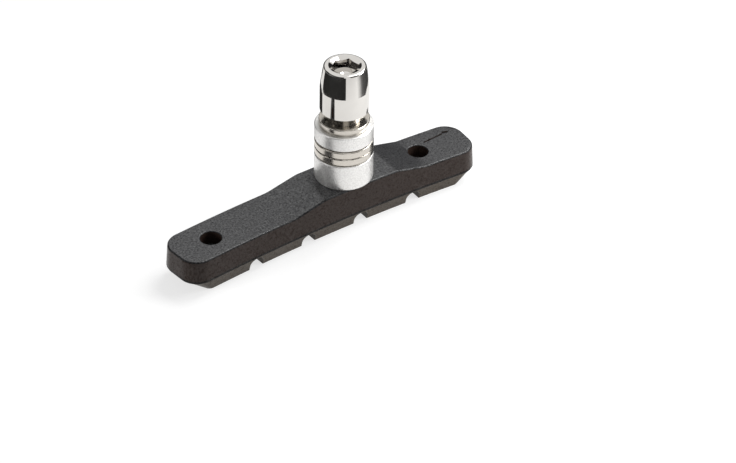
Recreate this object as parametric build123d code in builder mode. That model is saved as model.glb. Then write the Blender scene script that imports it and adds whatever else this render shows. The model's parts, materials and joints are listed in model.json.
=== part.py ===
from build123d import *
from math import cos, degrees, radians, sin, sqrt, tan
import os

os.makedirs("parts", exist_ok=True)

# Bicycle rim brake pad, in millimetres. The friction face lies at z = 0 with its middle at the origin,
# +X runs along the pad to the end that the stud is nearer to, and +Z runs up the stud.

# Pad seen from above
pad_length = 72.0  # end to end
pad_width = 11.4  # at the foot of the side wall
bend_radius = 380.0  # the pad bends with the rim, hollow side towards -Y
end_corner_radius = 4.0

# Pad seen from the side, from the friction face up
friction_depth = 2.9  # sloping part that carries the grooves
parting_band = 0.3  # thin moulded band under the side wall
wall_height = 4.85
boss_rise = 1.5  # raised seat for the washers
boss_long_side = 8.0  # from the stud to the end of the boss, towards the long end of the pad
boss_short_side = 9.5
boss_ramp = 7.3
boss_crest_radius = 5.0
boss_foot_radius = 10.0
wall_draft = 3.0  # degrees
upward = 0.5  # a face of the back, and no wall, has a normal that rises more than this
back_edge_radius = 0.35

# Friction face and its water grooves
band_step = 0.15  # each step inward under the side wall
end_slope = 4.3  # how far each end of the friction face draws in
side_slope = 1.05
face_corner_radius = 1.4
groove_count = 4
groove_pitch = 13.1
groove_width = 3.3
groove_depth = 2.5
groove_floor_radius = 1.4

# Holes left by the pins that hold the plate in the mould
pin_hole_diameter = 4.2
pin_hole_lip = 0.25
long_end_hole_inset = 8.8
short_end_hole_inset = 12.0

# Steel plate inside the rubber
plate_thickness = 1.5
plate_lift = 0.45  # rubber between the parting band and the plate
plate_end_cover = 5.0
plate_side_cover = 2.0
plate_corner_radius = 2.0

# Threaded stud, riveted into the plate
stud_offset = 5.55  # from the middle of the pad
stud_diameter = 6.0
rivet_shoulder = 0.6  # how far the stud steps in to its rivet
stud_tip_chamfer = 0.7

# Ball-seat washers
washer_diameter = 12.0
washer_edge_radius = 0.25
washer_clearance = 0.15  # round the stud, in the cups and the flat washer
swivel_clearance = 1.0  # round the stud, in the domes
thick_cup_height = 5.72
thin_cup_height = 3.15
dome_rim_height = 1.57
ball_radius = 8.0
rim_land = 0.4  # flat ring outside the ball seat
ball_clearance = 0.05
rim_clearance = 0.25  # between a cup's rim and a dome's rim
serration_count = 30
serration_depth = 0.15
arm_face_clearance = 0.05  # between the two serrated faces

# Flat washer
flat_washer_diameter = 10.3
flat_washer_thickness = 1.4
flat_washer_edge = 0.15

# Socket nut
nut_diameter = 9.9
nut_height = 12.2
nut_foot_diameter = 7.2
nut_foot_height = 2.2
nut_cone_height = 5.1
nut_top_diameter = 8.5
nut_cone_crown = 0.08  # how far the top cone swells out
nut_rim_radius = 0.4
nut_bearing_clearance = 0.05
socket_across_flats = 5.0
socket_mouth_diameter = 6.6
socket_mouth_angle = 120.0  # degrees, the whole cone
socket_depth = 2.2
socket_floor_fall = 0.6
socket_turn = 38.0  # degrees, where the first corner of the hexagon points
nut_web = 0.8  # metal between the socket and the thread
thread_clearance = 0.05
thread_lead_in = 0.15
stud_tip_clearance = 0.3

# Heights of the stack
band_z = friction_depth
wall_z = band_z + parting_band
back_z = wall_z + wall_height
boss_z = back_z + boss_rise
plate_z = wall_z + plate_lift
plate_top_z = plate_z + plate_thickness
thick_cup_top_z = boss_z + thick_cup_height
inner_dome_z = thick_cup_top_z + rim_clearance
inner_arm_face_z = inner_dome_z + dome_rim_height
outer_arm_face_z = inner_arm_face_z + arm_face_clearance
outer_dome_top_z = outer_arm_face_z + dome_rim_height
thin_cup_z = outer_dome_top_z + rim_clearance
thin_cup_top_z = thin_cup_z + thin_cup_height
flat_washer_top_z = thin_cup_top_z + flat_washer_thickness
nut_z = flat_washer_top_z + nut_bearing_clearance
thread_depth = nut_height - socket_depth - socket_floor_fall - nut_web
stud_top_z = nut_z + thread_depth - stud_tip_clearance

# What goes round the stud and into the plate
stud_radius = stud_diameter / 2
rivet_radius = stud_radius - rivet_shoulder
washer_bore_radius = stud_radius + washer_clearance
dome_bore_radius = stud_radius + swivel_clearance
thread_radius = stud_radius + thread_clearance

# Ball seat shared by the cups and the domes, measured from a dome's rim and from a cup's rim
washer_radius = washer_diameter / 2
seat_radius = washer_radius - rim_land
ball_centre = sqrt(ball_radius**2 - seat_radius**2)
dome_nose = sqrt(ball_radius**2 - dome_bore_radius**2) - ball_centre
cup_ball_radius = ball_radius + ball_clearance
cup_ball_centre = ball_centre + rim_clearance
cup_seat_radius = sqrt(cup_ball_radius**2 - cup_ball_centre**2)
cup_seat_depth = sqrt(cup_ball_radius**2 - washer_bore_radius**2) - cup_ball_centre


def rim_point(distance, height=0.0):
    """Gives the point on the pad's bent centre line, by its distance from the middle."""
    angle = distance / bend_radius
    return Vector(bend_radius * sin(angle), bend_radius * (cos(angle) - 1), height)


def rim_section_plane(distance):
    """Gives the upright plane along the centre line there, with +Z of the part as its up."""
    angle = distance / bend_radius
    along = (cos(angle), -sin(angle), 0)
    across = (-sin(angle), -cos(angle), 0)
    return Plane(origin=rim_point(distance), x_dir=along, z_dir=across)


def bent_bar(length, width, corner_radius=None):
    """Gives a bar that bends with the rim, its corners rounded or sharp, as a sketch round the origin."""
    half_angle = degrees(length / 2 / bend_radius)
    centre = (0, -bend_radius)
    with BuildSketch(mode=Mode.PRIVATE) as bar:
        with BuildLine():
            inner = CenterArc(centre, bend_radius - width / 2, 90 + half_angle, -2 * half_angle)
            outer = CenterArc(centre, bend_radius + width / 2, 90 - half_angle, 2 * half_angle)
            Line(inner @ 1, outer @ 0)
            Line(outer @ 1, inner @ 0)
        make_face()
        if corner_radius:
            fillet(bar.vertices(), corner_radius)
    return bar.sketch


def pad_outline(inset):
    """Gives the pad's outline at the foot of its side wall, drawn in all round."""
    return bent_bar(pad_length - 2 * inset, pad_width - 2 * inset, end_corner_radius - inset)


stud_place = rim_point(stud_offset)
stud_axis = Axis(stud_place, (0, 0, 1))


def stud_plane(height):
    """Gives the level plane on the stud's axis at a height."""
    return Plane(origin=stud_place + Vector(0, 0, height))


def turning_plane(height, upright=True, place=stud_place):
    """Gives the plane through an upright axis where a turned shape is drawn, x out and y up or down."""
    facing = (0, -1, 0) if upright else (0, 1, 0)
    return Plane(origin=place + Vector(0, 0, height), x_dir=(1, 0, 0), z_dir=facing)


def cup_section(height):
    """Gives half the section of a cup washer that stands on its flat face, hollow side up."""
    with BuildSketch(mode=Mode.PRIVATE) as section:
        with BuildLine():
            floor = (washer_bore_radius, height - cup_seat_depth)
            rim = (cup_seat_radius, height)
            Polyline(floor, (washer_bore_radius, 0), (washer_radius, 0), (washer_radius, height), rim)
            RadiusArc(rim, floor, cup_ball_radius)
        make_face()
        fillet(section.vertices().group_by(Axis.X)[-1], washer_edge_radius)
    return section.sketch


def dome_section():
    """Gives half the section of a dome washer that stands on its flat arm face, ball side up."""
    with BuildSketch(mode=Mode.PRIVATE) as section:
        with BuildLine():
            nose = (dome_bore_radius, dome_rim_height + dome_nose)
            rim = (seat_radius, dome_rim_height)
            Polyline(nose, (dome_bore_radius, 0), (washer_radius, 0), (washer_radius, dome_rim_height), rim)
            RadiusArc(rim, nose, -ball_radius)
        make_face()
        fillet(section.vertices().group_by(Axis.X)[-1], washer_edge_radius)
    return section.sketch


def pin_hole_section():
    """Gives half the section of a pin hole from the plate up, with its lip rounded at the level back."""
    with BuildSketch(mode=Mode.PRIVATE) as section:
        with BuildLine():
            hole_radius = pin_hole_diameter / 2
            lip_radius = hole_radius + pin_hole_lip
            hole_depth = back_z - plate_top_z
            lip_top = (lip_radius, hole_depth)
            lip_foot = (hole_radius, hole_depth - pin_hole_lip)
            Polyline(lip_foot, (hole_radius, 0), (0, 0), (0, boss_z), (lip_radius, boss_z), lip_top)
            RadiusArc(lip_top, lip_foot, -pin_hole_lip)
        make_face()
    return section.sketch


def cut_serrations(face_height):
    """Cuts the radial serrations into a dome washer's arm face, in the open part."""
    for number in range(serration_count // 2):
        turn = 360 / serration_count * number
        outward = (cos(radians(turn)), sin(radians(turn)), 0)
        with BuildSketch(Plane(stud_plane(face_height).origin, z_dir=outward)) as notch:
            Rectangle(serration_depth * sqrt(2), serration_depth * sqrt(2), rotation=45)
        extrude(notch.sketch, amount=washer_radius, both=True, mode=Mode.SUBTRACT)


plate_length = pad_length - 2 * plate_end_cover
plate_width = pad_width - 2 * plate_side_cover
long_end_hole = rim_point(long_end_hole_inset - pad_length / 2)
short_end_hole = rim_point(pad_length / 2 - short_end_hole_inset)

# Backing plate: a bent steel strip with the hole that the stud is riveted into
with BuildPart() as backing_plate:
    with BuildSketch(Plane.XY.offset(plate_z)):
        add(bent_bar(plate_length, plate_width, plate_corner_radius))
    extrude(amount=plate_thickness)
    with BuildSketch(stud_plane(plate_z)):
        Circle(rivet_radius)
    extrude(amount=plate_thickness, mode=Mode.SUBTRACT)

# Threaded stud: its shoulder stands on the plate, its rivet ends flush under it
with BuildPart() as threaded_stud:
    with BuildSketch(stud_plane(plate_z)):
        Circle(rivet_radius)
    extrude(amount=plate_thickness)
    with BuildSketch(stud_plane(plate_top_z)):
        Circle(stud_radius)
    extrude(amount=stud_top_z - plate_top_z)
    chamfer(threaded_stud.edges().sort_by(Axis.Z)[-1], stud_tip_chamfer)

# Rubber pad: one moulding, from the friction face to the boss under the washers
with BuildPart() as rubber_pad:
    with BuildSketch(Plane.XY.offset(wall_z)):
        add(bent_bar(pad_length, pad_width))
    extrude(amount=boss_z - wall_z, taper=wall_draft)
    upright_edges = rubber_pad.edges().filter_by(lambda edge: edge.bounding_box().size.Z > wall_height)
    fillet(upright_edges, end_corner_radius)

    # The back is level at both ends and ramps up to the boss round the stud
    with BuildSketch(Plane.XZ.offset(-pad_width)) as side_view:
        with BuildLine():
            boss_left = stud_place.X - boss_long_side
            boss_right = stud_place.X + boss_short_side
            foot_left = boss_left - boss_ramp
            foot_right = boss_right + boss_ramp
            past = pad_length  # far enough to clear both ends
            Polyline((-past, 0), (-past, back_z), (foot_left, back_z), (boss_left, boss_z),
                     (boss_right, boss_z), (foot_right, back_z), (past, back_z), (past, 0), close=True)
        make_face()
        fillet(side_view.vertices().group_by(Axis.Y)[-1], boss_crest_radius)
        fillet(side_view.vertices().filter_by_position(Axis.X, foot_left, foot_left), boss_foot_radius)
        fillet(side_view.vertices().filter_by_position(Axis.X, foot_right, foot_right), boss_foot_radius)
    extrude(amount=2 * pad_width, mode=Mode.INTERSECT)
    back_faces = rubber_pad.faces().filter_by(lambda face: face.normal_at().Z > upward)
    fillet(back_faces.edges().filter_by(Axis.Y, reverse=True), back_edge_radius)

    # Parting band, then the friction part that draws in on every side
    with BuildSketch(Plane.XY.offset(band_z)):
        add(pad_outline(band_step))
    extrude(amount=parting_band)
    with BuildSketch(Plane.XY.offset(band_z)):
        add(pad_outline(2 * band_step))
    with BuildSketch(Plane.XY):
        add(bent_bar(pad_length - 2 * end_slope, pad_width - 2 * side_slope, face_corner_radius))
    loft()

    # Water grooves across the friction face, each square to the bend
    for number in range(groove_count):
        place = (number - (groove_count - 1) / 2) * groove_pitch
        with BuildSketch(rim_section_plane(place)) as groove:
            Rectangle(groove_width, 2 * groove_depth)
            fillet(groove.vertices(), groove_floor_radius)
        extrude(amount=pad_width, both=True, mode=Mode.SUBTRACT)

    # Room for the plate and the stud, and the pin holes down to the plate
    with BuildSketch(Plane.XY.offset(plate_z)):
        add(bent_bar(plate_length, plate_width, plate_corner_radius))
    extrude(amount=plate_thickness, mode=Mode.SUBTRACT)
    with BuildSketch(stud_plane(plate_top_z)):
        Circle(stud_radius)
    extrude(amount=boss_z - plate_top_z, mode=Mode.SUBTRACT)
    for hole in (long_end_hole, short_end_hole):
        with BuildSketch(turning_plane(plate_top_z, place=hole)):
            add(pin_hole_section())
        revolve(axis=Axis(hole, (0, 0, 1)), mode=Mode.SUBTRACT)

# Thick cup washer: stands on the boss, hollow side up
with BuildPart() as thick_cup_washer:
    with BuildSketch(turning_plane(boss_z)):
        add(cup_section(thick_cup_height))
    revolve(axis=stud_axis)

# Inner dome washer: ball side down in the thick cup, arm face up
with BuildPart() as inner_dome_washer:
    with BuildSketch(turning_plane(inner_arm_face_z, upright=False)):
        add(dome_section())
    revolve(axis=stud_axis)
    cut_serrations(inner_arm_face_z)

# Outer dome washer: arm face down, ball side up in the thin cup
with BuildPart() as outer_dome_washer:
    with BuildSketch(turning_plane(outer_arm_face_z)):
        add(dome_section())
    revolve(axis=stud_axis)
    cut_serrations(outer_arm_face_z)

# Thin cup washer: hollow side down on the outer dome
with BuildPart() as thin_cup_washer:
    with BuildSketch(turning_plane(thin_cup_top_z, upright=False)):
        add(cup_section(thin_cup_height))
    revolve(axis=stud_axis)

# Flat washer that the nut bears on
with BuildPart() as flat_washer:
    with BuildSketch(stud_plane(thin_cup_top_z)):
        Circle(flat_washer_diameter / 2)
        Circle(washer_bore_radius, mode=Mode.SUBTRACT)
    extrude(amount=flat_washer_thickness)
    fillet(flat_washer.edges().filter_by(GeomType.CIRCLE).group_by(SortBy.RADIUS)[-1], flat_washer_edge)

# Socket nut: foot cone, barrel and top cone turned in one, hexagon socket above, thread below
with BuildPart() as socket_nut:
    with BuildSketch(turning_plane(nut_z)) as outside:
        with BuildLine():
            barrel = nut_diameter / 2
            foot = nut_foot_diameter / 2
            top = nut_top_diameter / 2
            cone_foot = (barrel, nut_height - nut_cone_height)
            cone_top = (top, nut_height)
            Polyline(cone_top, (0, nut_height), (0, 0), (foot, 0), (barrel, nut_foot_height), cone_foot)
            SagittaArc(cone_foot, cone_top, -nut_cone_crown)
        make_face()
        fillet(outside.vertices().group_by(Axis.Y)[-1].sort_by(Axis.X)[-1], nut_rim_radius)
    revolve(axis=stud_axis)

    # Plain bore in place of the fine thread, with its lead-in
    with BuildSketch(turning_plane(nut_z)):
        with BuildLine():
            mouth = thread_radius + thread_lead_in
            Polyline((0, 0), (mouth, 0), (thread_radius, thread_lead_in), (thread_radius, thread_depth),
                     (0, thread_depth), close=True)
        make_face()
    revolve(axis=stud_axis, mode=Mode.SUBTRACT)

    # Hexagon socket with its countersunk mouth and drilled floor
    with BuildSketch(stud_plane(nut_z + nut_height - socket_depth)):
        RegularPolygon(socket_across_flats / 2, 6, major_radius=False, rotation=socket_turn)
    extrude(amount=socket_depth, mode=Mode.SUBTRACT)
    with BuildSketch(turning_plane(nut_z + nut_height, upright=False)):
        flat = socket_across_flats / 2
        mouth = socket_mouth_diameter / 2
        mouth_fall = mouth / tan(radians(socket_mouth_angle / 2))
        with BuildLine():
            Polyline((0, 0), (mouth, 0), (0, mouth_fall), close=True)
        make_face()
        with BuildLine():
            floor = socket_depth + socket_floor_fall
            Polyline((0, socket_depth), (flat, socket_depth), (0, floor), close=True)
        make_face()
    revolve(axis=stud_axis, mode=Mode.SUBTRACT)

pieces = {
    "rubber_pad": rubber_pad,
    "backing_plate": backing_plate,
    "threaded_stud": threaded_stud,
    "thick_cup_washer": thick_cup_washer,
    "inner_dome_washer": inner_dome_washer,
    "outer_dome_washer": outer_dome_washer,
    "thin_cup_washer": thin_cup_washer,
    "flat_washer": flat_washer,
    "socket_nut": socket_nut,
}
for name, piece in pieces.items():
    piece.part.label = name
    export_step(piece.part, f"parts/{name}.step")
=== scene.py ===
import json
import math

import bmesh
import bpy
from mathutils import Matrix, Vector

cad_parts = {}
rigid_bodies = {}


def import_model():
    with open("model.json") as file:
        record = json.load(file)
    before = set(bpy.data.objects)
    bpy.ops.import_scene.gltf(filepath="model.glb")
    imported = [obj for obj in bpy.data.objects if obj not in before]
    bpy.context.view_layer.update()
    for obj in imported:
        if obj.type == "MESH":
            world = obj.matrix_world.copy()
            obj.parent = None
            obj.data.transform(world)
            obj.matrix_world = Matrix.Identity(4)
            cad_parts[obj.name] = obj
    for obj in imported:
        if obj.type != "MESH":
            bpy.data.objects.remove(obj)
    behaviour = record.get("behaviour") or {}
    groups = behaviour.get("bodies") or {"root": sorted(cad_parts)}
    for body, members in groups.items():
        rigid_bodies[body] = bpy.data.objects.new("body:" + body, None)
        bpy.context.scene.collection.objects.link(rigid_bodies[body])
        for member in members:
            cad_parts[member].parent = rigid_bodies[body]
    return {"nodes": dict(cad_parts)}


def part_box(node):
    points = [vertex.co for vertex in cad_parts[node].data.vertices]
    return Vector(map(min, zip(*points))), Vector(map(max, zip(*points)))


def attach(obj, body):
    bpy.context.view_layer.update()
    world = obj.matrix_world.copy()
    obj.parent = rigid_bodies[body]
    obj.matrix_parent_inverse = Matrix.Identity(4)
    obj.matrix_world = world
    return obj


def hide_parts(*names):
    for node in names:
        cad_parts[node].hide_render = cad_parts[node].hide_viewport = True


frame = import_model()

nodes = frame["nodes"]
MM = 0.001

# Blender's own start-up objects aren't part of the scene
for thing in list(bpy.data.objects):
    if thing.type in ("MESH", "LIGHT", "CAMERA") and thing.name not in nodes:
        bpy.data.objects.remove(thing)
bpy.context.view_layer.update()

# Where things are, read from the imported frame
stud_low, stud_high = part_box("threaded_stud")
stud_x = (stud_low.x + stud_high.x) / 2
stud_y = (stud_low.y + stud_high.y) / 2
stud_radius = (stud_high.x - stud_low.x) / 2
plate_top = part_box("backing_plate")[1].z
thread_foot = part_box("thick_cup_washer")[0].z


def link(thing):
    """Puts a new object in the scene."""
    bpy.context.scene.collection.objects.link(thing)
    return thing


def shade(data, sharp_degrees):
    """Shades a mesh smooth, but for the edges that are sharper than an angle."""
    data.shade_smooth()
    data.set_sharp_from_angle(angle=math.radians(sharp_degrees))


def mesh_piece(name, mesh, material):
    """Makes an object from a finished bmesh."""
    data = bpy.data.meshes.new(name)
    mesh.to_mesh(data)
    mesh.free()
    shade(data, sharp_degrees=32)
    data.materials.append(material)
    return link(bpy.data.objects.new(name, data))


def direction(azimuth, elevation):
    """Unit vector from the part towards an angle in degrees: azimuth 0 is the front, 90 is +X."""
    a, e = math.radians(azimuth), math.radians(elevation)
    return Vector((math.sin(a) * math.cos(e), -math.cos(a) * math.cos(e), math.sin(e)))


class Shader:
    """A node material: its nodes by short calls, with the shader already joined to the output."""

    def __init__(self, name):
        self.material = bpy.data.materials.new(name)
        self.material.use_nodes = True
        self.tree = self.material.node_tree
        self.bsdf = self.tree.nodes["Principled BSDF"]
        self.place = self.add("ShaderNodeTexCoord").outputs["Object"]

    def add(self, kind, **settings):
        node = self.tree.nodes.new(kind)
        for key, value in settings.items():
            setattr(node, key, value)
        return node

    def join(self, source, target):
        self.tree.links.new(source, target)

    def fix(self, socket, value):
        """Sets what is the same all over the surface: a number, or a colour."""
        self.bsdf.inputs[socket].default_value = (*value, 1) if isinstance(value, tuple) else value

    def vary(self, socket, source):
        """Joins what changes over the surface to the shader."""
        self.join(source, self.bsdf.inputs[socket])

    def noise(self, size, detail=2.0, rough=0.5):
        """Noise whose grains are about that many millimetres across."""
        node = self.add("ShaderNodeTexNoise")
        node.inputs["Scale"].default_value = 1 / (size * MM)
        node.inputs["Detail"].default_value = detail
        node.inputs["Roughness"].default_value = rough
        self.join(self.place, node.inputs["Vector"])
        return node.outputs["Fac"]

    def spread(self, value, low, high, out_low=0.0, out_high=1.0):
        """Maps a value from one range to another, held inside it."""
        node = self.add("ShaderNodeMapRange")
        for key, number in zip(("From Min", "From Max", "To Min", "To Max"), (low, high, out_low, out_high)):
            node.inputs[key].default_value = number
        self.join(value, node.inputs["Value"])
        return node.outputs["Result"]

    def mix(self, factor, first, second):
        """Mixes two colours, each given as a colour or as a socket."""
        node = self.add("ShaderNodeMix", data_type="RGBA")
        self.join(factor, node.inputs["Factor"])
        for colour, socket in ((first, node.inputs[6]), (second, node.inputs[7])):
            if isinstance(colour, tuple):
                socket.default_value = (*colour, 1)
            else:
                self.join(colour, socket)
        return node.outputs[2]

    def multiply(self, first, second):
        node = self.add("ShaderNodeMath", operation="MULTIPLY")
        self.join(first, node.inputs[0])
        self.join(second, node.inputs[1])
        return node.outputs[0]

    def upright(self, vector):
        """The part of a vector that points up."""
        node = self.add("ShaderNodeSeparateXYZ")
        self.join(vector, node.inputs[0])
        return node.outputs["Z"]

    def bump(self, height, strength, depth):
        """Bump of that depth in millimetres."""
        node = self.add("ShaderNodeBump")
        node.inputs["Strength"].default_value = strength
        node.inputs["Distance"].default_value = depth * MM
        self.join(height, node.inputs["Height"])
        self.vary("Normal", node.outputs["Normal"])


def rubber_material():
    """Moulded rubber, grainy all over: a grey back against browner walls, a near-black parting groove and a
    paler friction part. The grey-brown split by facing is painted light, and the dark groove is painted
    shade.
    """
    shader = Shader("rubber")
    grain = shader.noise(size=0.4, detail=3.0, rough=0.65)
    speck = shader.spread(grain, 0.35, 0.65)
    back = shader.mix(speck, (0.008, 0.008, 0.009), (0.036, 0.036, 0.038))
    wall_painted_light = shader.mix(speck, (0.03, 0.019, 0.015), (0.044, 0.029, 0.023))
    friction = shader.mix(speck, (0.075, 0.058, 0.041), (0.125, 0.1, 0.075))
    # The near-black of the parting groove is painted shade under the wall's ledge
    groove_painted_shade = shader.mix(speck, (0.003, 0.002, 0.002), (0.008, 0.006, 0.005))
    # Back and walls are one rubber: the browner, lighter walls against the grey back, chosen by which way
    # the surface faces, are painted light, and the back's grey reaching over the rounded edge is a painted
    # dark edge line
    rise = shader.upright(shader.add("ShaderNodeNewGeometry").outputs["Normal"])
    on_back = shader.spread(rise, 0.15, 0.4)
    height = shader.upright(shader.place)
    above_band = shader.spread(height, 3.4 * MM, 3.6 * MM)
    below_band = shader.spread(height, 2.6 * MM, 2.72 * MM, 1.0, 0.0)
    upper = shader.mix(above_band, groove_painted_shade, shader.mix(on_back, wall_painted_light, back))
    shader.vary("Base Color", shader.mix(below_band, upper, friction))
    # Only the level back has the full sheen; the walls and the rounded edge get little, which is painted
    # shade that makes the edge show as a dark line and keeps the walls dark
    level = shader.spread(rise, 0.95, 0.977)
    sheen = shader.spread(level, 0.0, 1.0, 0.25, 1.02)
    glint = shader.spread(grain, 0.3, 0.7, 0.25, 1.35)
    shader.vary("Specular IOR Level", shader.multiply(sheen, glint))
    shader.vary("Roughness", shader.spread(grain, 0.3, 0.7, 0.38, 0.24))
    shader.bump(grain, strength=0.35, depth=0.07)
    return shader.material


def plate_material():
    """Black bonding coat on the plate, seen only at the bottom of the pin holes."""
    shader = Shader("plate_coat")
    grain = shader.noise(size=0.3)
    shader.vary("Base Color", shader.mix(grain, (0.003, 0.003, 0.003), (0.006, 0.006, 0.006)))
    shader.fix("Roughness", 0.7)
    shader.bump(grain, strength=0.2, depth=0.03)
    return shader.material


def stud_material():
    """Bright zinc on a rolled thread."""
    shader = Shader("stud_zinc")
    grain = shader.noise(size=0.5, detail=3.0)
    shader.fix("Metallic", 1.0)
    shader.vary("Base Color", shader.mix(grain, (0.52, 0.52, 0.5), (0.66, 0.66, 0.65)))
    shader.vary("Roughness", shader.spread(grain, 0.3, 0.7, 0.22, 0.38))
    shader.bump(grain, strength=0.15, depth=0.02)
    return shader.material


def satin_material():
    """Blasted silver: pale and grainy, with a soft shine."""
    shader = Shader("satin_silver")
    grain = shader.noise(size=0.3, detail=3.0, rough=0.65)
    speck = shader.spread(grain, 0.32, 0.68)
    shader.fix("Metallic", 0.8)
    shader.vary("Base Color", shader.mix(speck, (0.72, 0.71, 0.69), (0.98, 0.97, 0.95)))
    shader.vary("Roughness", shader.spread(grain, 0.3, 0.7, 0.33, 0.46))
    shader.bump(grain, strength=0.42, depth=0.04)
    return shader.material


def nickel_material():
    """Polished nickel, slightly uneven."""
    shader = Shader("bright_nickel")
    grain = shader.noise(size=0.4, detail=3.0)
    shader.fix("Metallic", 1.0)
    shader.vary("Base Color", shader.mix(grain, (0.52, 0.485, 0.435), (0.63, 0.595, 0.54)))
    shader.vary("Roughness", shader.spread(grain, 0.3, 0.7, 0.17, 0.27))
    shader.bump(grain, strength=0.08, depth=0.02)
    return shader.material


def chrome_material():
    """Mirror chrome with slight handling haze."""
    shader = Shader("polished_chrome")
    haze = shader.noise(size=2.5, detail=4.0)
    shader.fix("Metallic", 1.0)
    shader.vary("Base Color", shader.mix(haze, (0.62, 0.6, 0.57), (0.7, 0.68, 0.65)))
    shader.vary("Roughness", shader.spread(haze, 0.35, 0.7, 0.03, 0.09))
    return shader.material


rubber = rubber_material()
satin = satin_material()
nickel = nickel_material()
finishes = {
    "rubber_pad": rubber,
    "backing_plate": plate_material(),
    "threaded_stud": stud_material(),
    "thick_cup_washer": satin,
    "inner_dome_washer": nickel,
    "outer_dome_washer": nickel,
    "thin_cup_washer": satin,
    "flat_washer": nickel,
    "socket_nut": chrome_material(),
}
for name, finish in finishes.items():
    nodes[name].data.materials.clear()
    nodes[name].data.materials.append(finish)

# Stud with its rolled M6 thread in place of the plain cylinder
PITCH = 1.0 * MM
THREAD_DEPTH = 0.6 * MM
THREAD_CREST = 0.06  # half the crest's width, in pitches
FLANK_SLOPE = math.tan(math.radians(60))
TIP_CHAMFER = 0.7 * MM
STUD_SIDES = 64
ROWS_PER_PITCH = 16


def thread_radius(angle, height):
    """Radius of the stud at an angle and height, on the thread."""
    along = (height - stud_low.z) / PITCH - angle / math.tau
    from_crest = abs(along - round(along))
    fall = (from_crest - THREAD_CREST) * PITCH * FLANK_SLOPE
    run_out = min(1.0, max(0.0, (height - thread_foot) / PITCH))
    tip = stud_radius - max(0.0, TIP_CHAMFER - (stud_high.z - height))
    return min(stud_radius - run_out * min(max(fall, 0.0), THREAD_DEPTH), tip)


def threaded_stud(material):
    """The stud as one closed mesh: rivet, plain shank in the rubber, then the thread."""
    rivet_radius = stud_radius - THREAD_DEPTH
    rings = [
        (stud_low.z, lambda angle, height: rivet_radius),
        (plate_top, lambda angle, height: rivet_radius),
        (plate_top, lambda angle, height: stud_radius),
    ]
    rows = math.ceil((stud_high.z - thread_foot) / PITCH * ROWS_PER_PITCH)
    for row in range(rows + 1):
        rings.append((thread_foot + (stud_high.z - thread_foot) * row / rows, thread_radius))
    mesh = bmesh.new()
    loops = []
    for height, radius_at in rings:
        loop = []
        for side in range(STUD_SIDES):
            angle = math.tau * side / STUD_SIDES
            r = radius_at(angle, height)
            loop.append(mesh.verts.new((stud_x + r * math.cos(angle), stud_y + r * math.sin(angle), height)))
        loops.append(loop)
    for lower, upper in zip(loops, loops[1:]):
        for side in range(STUD_SIDES):
            after = (side + 1) % STUD_SIDES
            mesh.faces.new((lower[side], lower[after], upper[after], upper[side]))
    mesh.faces.new(list(reversed(loops[0])))
    mesh.faces.new(loops[-1])
    piece = mesh_piece("threaded_stud_rolled", mesh, material)
    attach(piece, "pad")
    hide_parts("threaded_stud")


threaded_stud(finishes["threaded_stud"])

# Direction arrow engraved in the back, near the short end
BEND_RADIUS = 380 * MM
BACK_HEIGHT = 8.05 * MM
ARROW_TAIL = (26.8 * MM, 1.95 * MM)  # along the bent middle line, then across it
ARROW_TIP = (33.6 * MM, 2.95 * MM)
ARROW_LINE = 0.42 * MM
ARROW_HEAD_LENGTH = 1.7 * MM
ARROW_HEAD_WIDTH = 1.5 * MM
ENGRAVING = 0.3 * MM


def bent_point(along, across, height):
    """Gives the point of the row frame at a place on the pad's bent middle line."""
    angle = along / BEND_RADIUS
    reach = BEND_RADIUS + across
    return Vector((reach * math.sin(angle), reach * math.cos(angle) - BEND_RADIUS, height))


def arrow_cutter():
    """A closed prism in the shape of the arrow, from the engraving's floor to above the back."""
    tail = Vector(ARROW_TAIL)
    tip = Vector(ARROW_TIP)
    way = (tip - tail).normalized()
    aside = Vector((-way.y, way.x))
    neck = tip - way * ARROW_HEAD_LENGTH
    line, head = aside * ARROW_LINE / 2, aside * ARROW_HEAD_WIDTH / 2
    outline = [tail - line, neck - line, neck - head, tip, neck + head, neck + line, tail + line]
    mesh = bmesh.new()
    lower = [mesh.verts.new(bent_point(*place, BACK_HEIGHT - ENGRAVING)) for place in outline]
    upper = [mesh.verts.new(bent_point(*place, BACK_HEIGHT + ENGRAVING)) for place in outline]
    mesh.faces.new(list(reversed(lower)))
    mesh.faces.new(upper)
    for at in range(len(outline)):
        after = (at + 1) % len(outline)
        mesh.faces.new((lower[at], lower[after], upper[after], upper[at]))
    bmesh.ops.recalc_face_normals(mesh, faces=mesh.faces)
    return mesh_piece("arrow_cutter", mesh, rubber)


def engraved_pad():
    """The rubber pad with the arrow cut into its back."""
    cutter = arrow_cutter()
    blank = link(bpy.data.objects.new("pad_blank", nodes["rubber_pad"].data.copy()))
    cut = blank.modifiers.new("arrow", "BOOLEAN")
    cut.operation = "DIFFERENCE"
    cut.solver = "EXACT"
    cut.object = cutter
    done = blank.evaluated_get(bpy.context.evaluated_depsgraph_get())
    data = bpy.data.meshes.new_from_object(done)
    bpy.data.objects.remove(blank)
    bpy.data.objects.remove(cutter)
    data.name = "rubber_pad_engraved"
    # The CAD mesh's own normals don't fit the cut, so the shading is made again
    if "custom_normal" in data.attributes:
        data.attributes.remove(data.attributes["custom_normal"])
    shade(data, sharp_degrees=28)
    data.materials.clear()
    data.materials.append(rubber)
    piece = link(bpy.data.objects.new("rubber_pad_engraved", data))
    flats = piece.modifiers.new("flats", "WEIGHTED_NORMAL")
    flats.keep_sharp = True
    flats.weight = 100
    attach(piece, "pad")
    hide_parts("rubber_pad")


engraved_pad()


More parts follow.
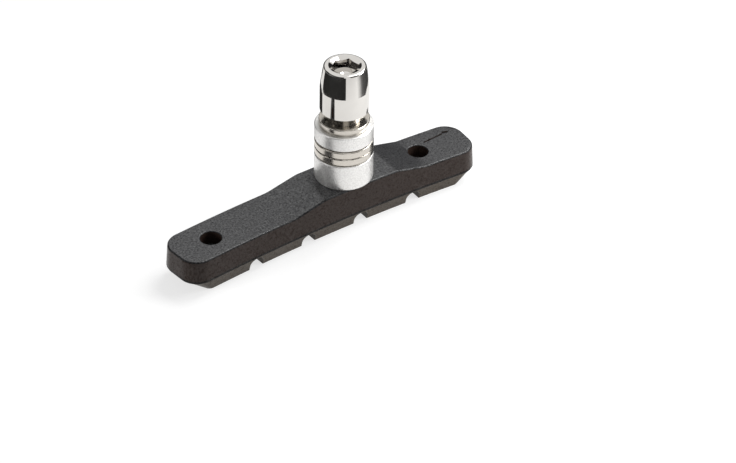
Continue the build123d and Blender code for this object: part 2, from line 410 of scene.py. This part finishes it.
def seen_by_eye(tree):
    """Gives 1 for what the camera, a mirror or glass sees, and 0 for light on its way to a surface."""
    path = tree.nodes.new("ShaderNodeLightPath")
    total = path.outputs["Is Camera Ray"]
    for name in ("Is Glossy Ray", "Is Transmission Ray"):
        either = tree.nodes.new("ShaderNodeMath")
        either.operation = "MAXIMUM"
        tree.links.new(total, either.inputs[0])
        tree.links.new(path.outputs[name], either.inputs[1])
        total = either.outputs[0]
    return total


# Floor: pale, so that it keeps the part's shadow and shows white where it is clear of it
FLOOR_RADIUS = 1.5
FLOOR_GLOW = 0.69
floor_mesh = bmesh.new()
bmesh.ops.create_circle(floor_mesh, cap_ends=True, segments=96, radius=FLOOR_RADIUS)
floor_shader = Shader("floor")
floor_shader.fix("Base Color", (0.42, 0.42, 0.42))
floor_shader.fix("Roughness", 0.9)
floor_shader.fix("Specular IOR Level", 0.0)
floor_shader.fix("Emission Color", (1, 1, 1))
floor_shader.vary(
    "Emission Strength",
    floor_shader.spread(seen_by_eye(floor_shader.tree), 0.0, 1.0, 0.0, FLOOR_GLOW),
)
floor = mesh_piece("floor", floor_mesh, floor_shader.material)

# World: white to the camera and in reflections, a plain level as light
WORLD_LIGHT = 0.2
WORLD_SEEN = 1.0
world = bpy.data.worlds.new("studio")
bpy.context.scene.world = world
world.use_nodes = True
sky = world.node_tree
background = sky.nodes["Background"]
background.inputs["Color"].default_value = (1, 1, 1, 1)
strength = sky.nodes.new("ShaderNodeMapRange")
strength.inputs["To Min"].default_value = WORLD_LIGHT
strength.inputs["To Max"].default_value = WORLD_SEEN
sky.links.new(seen_by_eye(sky), strength.inputs["Value"])
sky.links.new(strength.outputs["Result"], background.inputs["Strength"])

# Lamps
LAMP_TARGET = Vector((0, 0, 15 * MM))


def softbox(name, azimuth, elevation, distance, size, power):
    """Adds a square lamp that looks at the middle of the part. Lengths are in metres and power in watts."""
    lamp = bpy.data.lights.new(name, "AREA")
    lamp.shape = "SQUARE"
    lamp.size = size
    lamp.energy = power
    holder = link(bpy.data.objects.new(name, lamp))
    back = direction(azimuth, elevation)
    holder.location = LAMP_TARGET + distance * back
    holder.rotation_mode = "QUATERNION"
    holder.rotation_quaternion = back.to_track_quat("Z", "Y")


softbox("key", azimuth=100, elevation=55, distance=0.7, size=0.4, power=3.6)
softbox("fill", azimuth=55, elevation=26, distance=0.136, size=0.06, power=0.1)
softbox("side", azimuth=-105, elevation=9, distance=0.2, size=0.06, power=0.09)


# Backdrops
BACKDROP_SIDES = 120


def backdrop_material(name, stops):
    """Dark or clear round the stud: each stop is an angle from +X in degrees and a share of dark."""
    shader = Shader(name)
    shader.fix("Base Color", (0.015, 0.015, 0.015))
    shader.fix("Roughness", 0.9)
    axis = shader.add("ShaderNodeVectorMath", operation="SUBTRACT")
    shader.join(shader.place, axis.inputs[0])
    axis.inputs[1].default_value = (stud_x, stud_y, 0)
    gradient = shader.add("ShaderNodeTexGradient", gradient_type="RADIAL")
    shader.join(axis.outputs[0], gradient.inputs["Vector"])
    ramp = shader.add("ShaderNodeValToRGB")
    shader.join(gradient.outputs["Fac"], ramp.inputs["Fac"])
    elements = ramp.color_ramp.elements
    while len(elements) < len(stops):
        elements.new(0.5)
    for element, (angle, dark) in zip(elements, stops):
        element.position = angle / 360 + 0.5
        element.color = (dark, dark, dark, 1)
    clear = shader.add("ShaderNodeBsdfTransparent")
    blend = shader.add("ShaderNodeMixShader")
    shader.join(ramp.outputs["Color"], blend.inputs["Fac"])
    shader.join(clear.outputs[0], blend.inputs[1])
    shader.join(shader.bsdf.outputs[0], blend.inputs[2])
    shader.join(blend.outputs[0], shader.tree.nodes["Material Output"].inputs["Surface"])
    return shader.material


def dark_backdrop(name, radius, foot, top, stops):
    """Stands a dark backdrop round the part, for what the metal mirrors. It shows only in reflections."""
    mesh = bmesh.new()
    bmesh.ops.create_cone(mesh, segments=BACKDROP_SIDES, radius1=radius, radius2=radius, depth=top - foot)
    spans = zip(stops, (*stops[1:], (180, stops[-1][1])))
    dark_spans = [(first, last) for (first, dark), (last, next_dark) in spans if dark or next_dark]
    half_side = 180 / BACKDROP_SIDES
    clear_sides = []
    for side in mesh.faces:
        middle = side.calc_center_median()
        angle = math.degrees(math.atan2(middle.y, middle.x))
        if not any(first - half_side < angle < last + half_side for first, last in dark_spans):
            clear_sides.append(side)
    bmesh.ops.delete(mesh, geom=clear_sides, context="FACES")
    for corner in mesh.verts:
        corner.co += Vector((stud_x, stud_y, (foot + top) / 2))
    backdrop = mesh_piece(name, mesh, backdrop_material(name, stops))
    backdrop.visible_camera = False
    backdrop.visible_diffuse = False
    backdrop.visible_shadow = False
    backdrop.visible_transmission = False


dark_backdrop("low_backdrop", radius=60 * MM, foot=0.5 * MM, top=24 * MM, stops=(
    (-180, 1), (-121.5, 1), (-120, 0), (-69, 0), (-44, 0.86), (-33, 0.93),
    (48, 1), (93, 1), (94.5, 0), (118, 0), (119.5, 1),
))
dark_backdrop("near_backdrop", radius=35 * MM, foot=0.5 * MM, top=13 * MM, stops=(
    (-180, 0), (40, 0), (42, 1), (116, 1), (118, 0),
))
dark_backdrop("room_backdrop", radius=100 * MM, foot=25 * MM, top=130 * MM, stops=(
    (-180, 1), (-132, 1), (-128, 0), (-102, 0), (-98, 1), (-60, 0.8), (-40, 0), (108, 0), (112, 1),
))
dark_backdrop("far_backdrop", radius=400 * MM, foot=0.5 * MM, top=260 * MM, stops=(
    (-180, 0), (-45, 0), (-30, 1), (110, 1), (125, 0),
))

# Camera, at the photograph's angle
CAMERA_AZIMUTH = -37.039
CAMERA_ELEVATION = 37.213
CAMERA_ROLL = math.radians(1.27)
CAMERA_DISTANCE = 486.462 * MM
CAMERA_TARGET = Vector((5.691, -8.521, 0)) * MM
FOCAL_PIXELS = 2400
PHOTO_WIDTH = 736
camera_data = bpy.data.cameras.new("camera")
camera_data.sensor_fit = "HORIZONTAL"
camera_data.sensor_width = 36.0
camera_data.lens = camera_data.sensor_width * FOCAL_PIXELS / PHOTO_WIDTH
camera_data.clip_start = 0.02
camera_data.clip_end = 20.0
camera = link(bpy.data.objects.new("camera", camera_data))
away = direction(CAMERA_AZIMUTH, CAMERA_ELEVATION)
level_right = Vector((0, 0, 1)).cross(away).normalized()
level_up = away.cross(level_right)
right = math.cos(CAMERA_ROLL) * level_right + math.sin(CAMERA_ROLL) * level_up
up = away.cross(right)
turn = Matrix((right, up, away)).transposed().to_4x4()
camera.matrix_world = Matrix.Translation(CAMERA_TARGET + CAMERA_DISTANCE * away) @ turn
bpy.context.scene.camera = camera
bpy.context.scene.view_settings.view_transform = "Standard"
